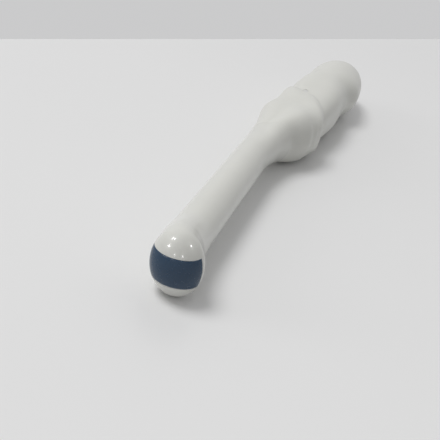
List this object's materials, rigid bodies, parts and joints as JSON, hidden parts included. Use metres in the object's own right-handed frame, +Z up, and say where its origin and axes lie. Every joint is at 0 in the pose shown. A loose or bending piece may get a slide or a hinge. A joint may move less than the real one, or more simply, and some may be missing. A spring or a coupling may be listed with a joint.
{
  "type": "endocavity ultrasound probe",
  "caption": "Transvaginal ultrasound probe: oval nose with a curved acoustic lens band, slender tube, bulged two-shell handle and a cable inlet at the rear.",
  "frame": {"origin": "centre of the bounding box's base, on the surface that the probe lies on", "axes": "+Y along the probe from the nose to the cable inlet, +X to the side on which the handle's belly bulges, +Z up"},
  "size_m": [0.0514, 0.319, 0.035],
  "materials": {
    "housing_plastic": "satin to glossy warm white moulding",
    "shell_plastic": "satin warm white moulding",
    "lens_silicone": "smooth blue-grey silicone",
    "marker_plastic": "satin light grey",
    "outer_matching_epoxy": "cast amber epoxy",
    "inner_matching_epoxy": "filled dark grey epoxy",
    "piezo_ceramic": "fired and diced, unglazed",
    "backing_rubber": "filled black rubber",
    "sensor_epoxy": "dark blue potted bead",
    "flex_polyimide": "amber polyimide film",
    "ribbon_jacket": "grey-blue ribbed ribbon",
    "board_laminate": "green solder resist",
    "connector_plastic": "ivory moulding",
    "header_plastic": "black moulding",
    "shield_copper": "plain copper sheet",
    "aluminium": "bead-blasted",
    "seal_rubber": "black rubber",
    "screw_steel": "plain stainless steel",
    "turned_brass": "turned brass",
    "clamp_plastic": "black moulding",
    "gland_plastic": "light grey moulding"
  },
  "bodies": {
    "root": {"acoustic_lens": "lens_silicone", "array_carrier": "aluminium", "backing_block": "backing_rubber", "board_post_1": "turned_brass", "board_post_2": "turned_brass", "board_post_3": "turned_brass", "board_post_4": "turned_brass", "board_screw_lower_1": "screw_steel", "board_screw_lower_2": "screw_steel", "board_screw_lower_3": "screw_steel", "board_screw_lower_4": "screw_steel", "board_screw_upper_1": "screw_steel", "board_screw_upper_2": "screw_steel", "board_screw_upper_3": "screw_steel", "board_screw_upper_4": "screw_steel", "cable_clamp_base": "clamp_plastic", "cable_clamp_cap": "clamp_plastic", "cable_gland": "gland_plastic", "cable_header_lower": "header_plastic", "cable_header_upper": "header_plastic", "clamp_screw_1": "screw_steel", "clamp_screw_2": "screw_steel", "flex_circuit_lower": "flex_polyimide", "flex_circuit_upper": "flex_polyimide", "gland_lock_ring": "turned_brass", "handle_chassis": "aluminium", "handle_lower_shell": "shell_plastic", "handle_shield_lower": "shield_copper", "handle_shield_upper": "shield_copper", "handle_upper_shell": "shell_plastic", "heat_bar": "aluminium", "insertion_housing": "housing_plastic", "interconnect_board_lower": "board_laminate", "interconnect_board_upper": "board_laminate", "lead_ribbon_lower": "ribbon_jacket", "lead_ribbon_upper": "ribbon_jacket", "matching_layer_inner": "inner_matching_epoxy", "matching_layer_outer": "outer_matching_epoxy", "orientation_marker": "marker_plastic", "piezo_array": "piezo_ceramic", "ribbon_connector_lower": "connector_plastic", "ribbon_connector_upper": "connector_plastic", "temperature_sensor": "sensor_epoxy", "tube_seal": "seal_rubber", "tube_shield": "shield_copper"}
  },
  "joints": []
}
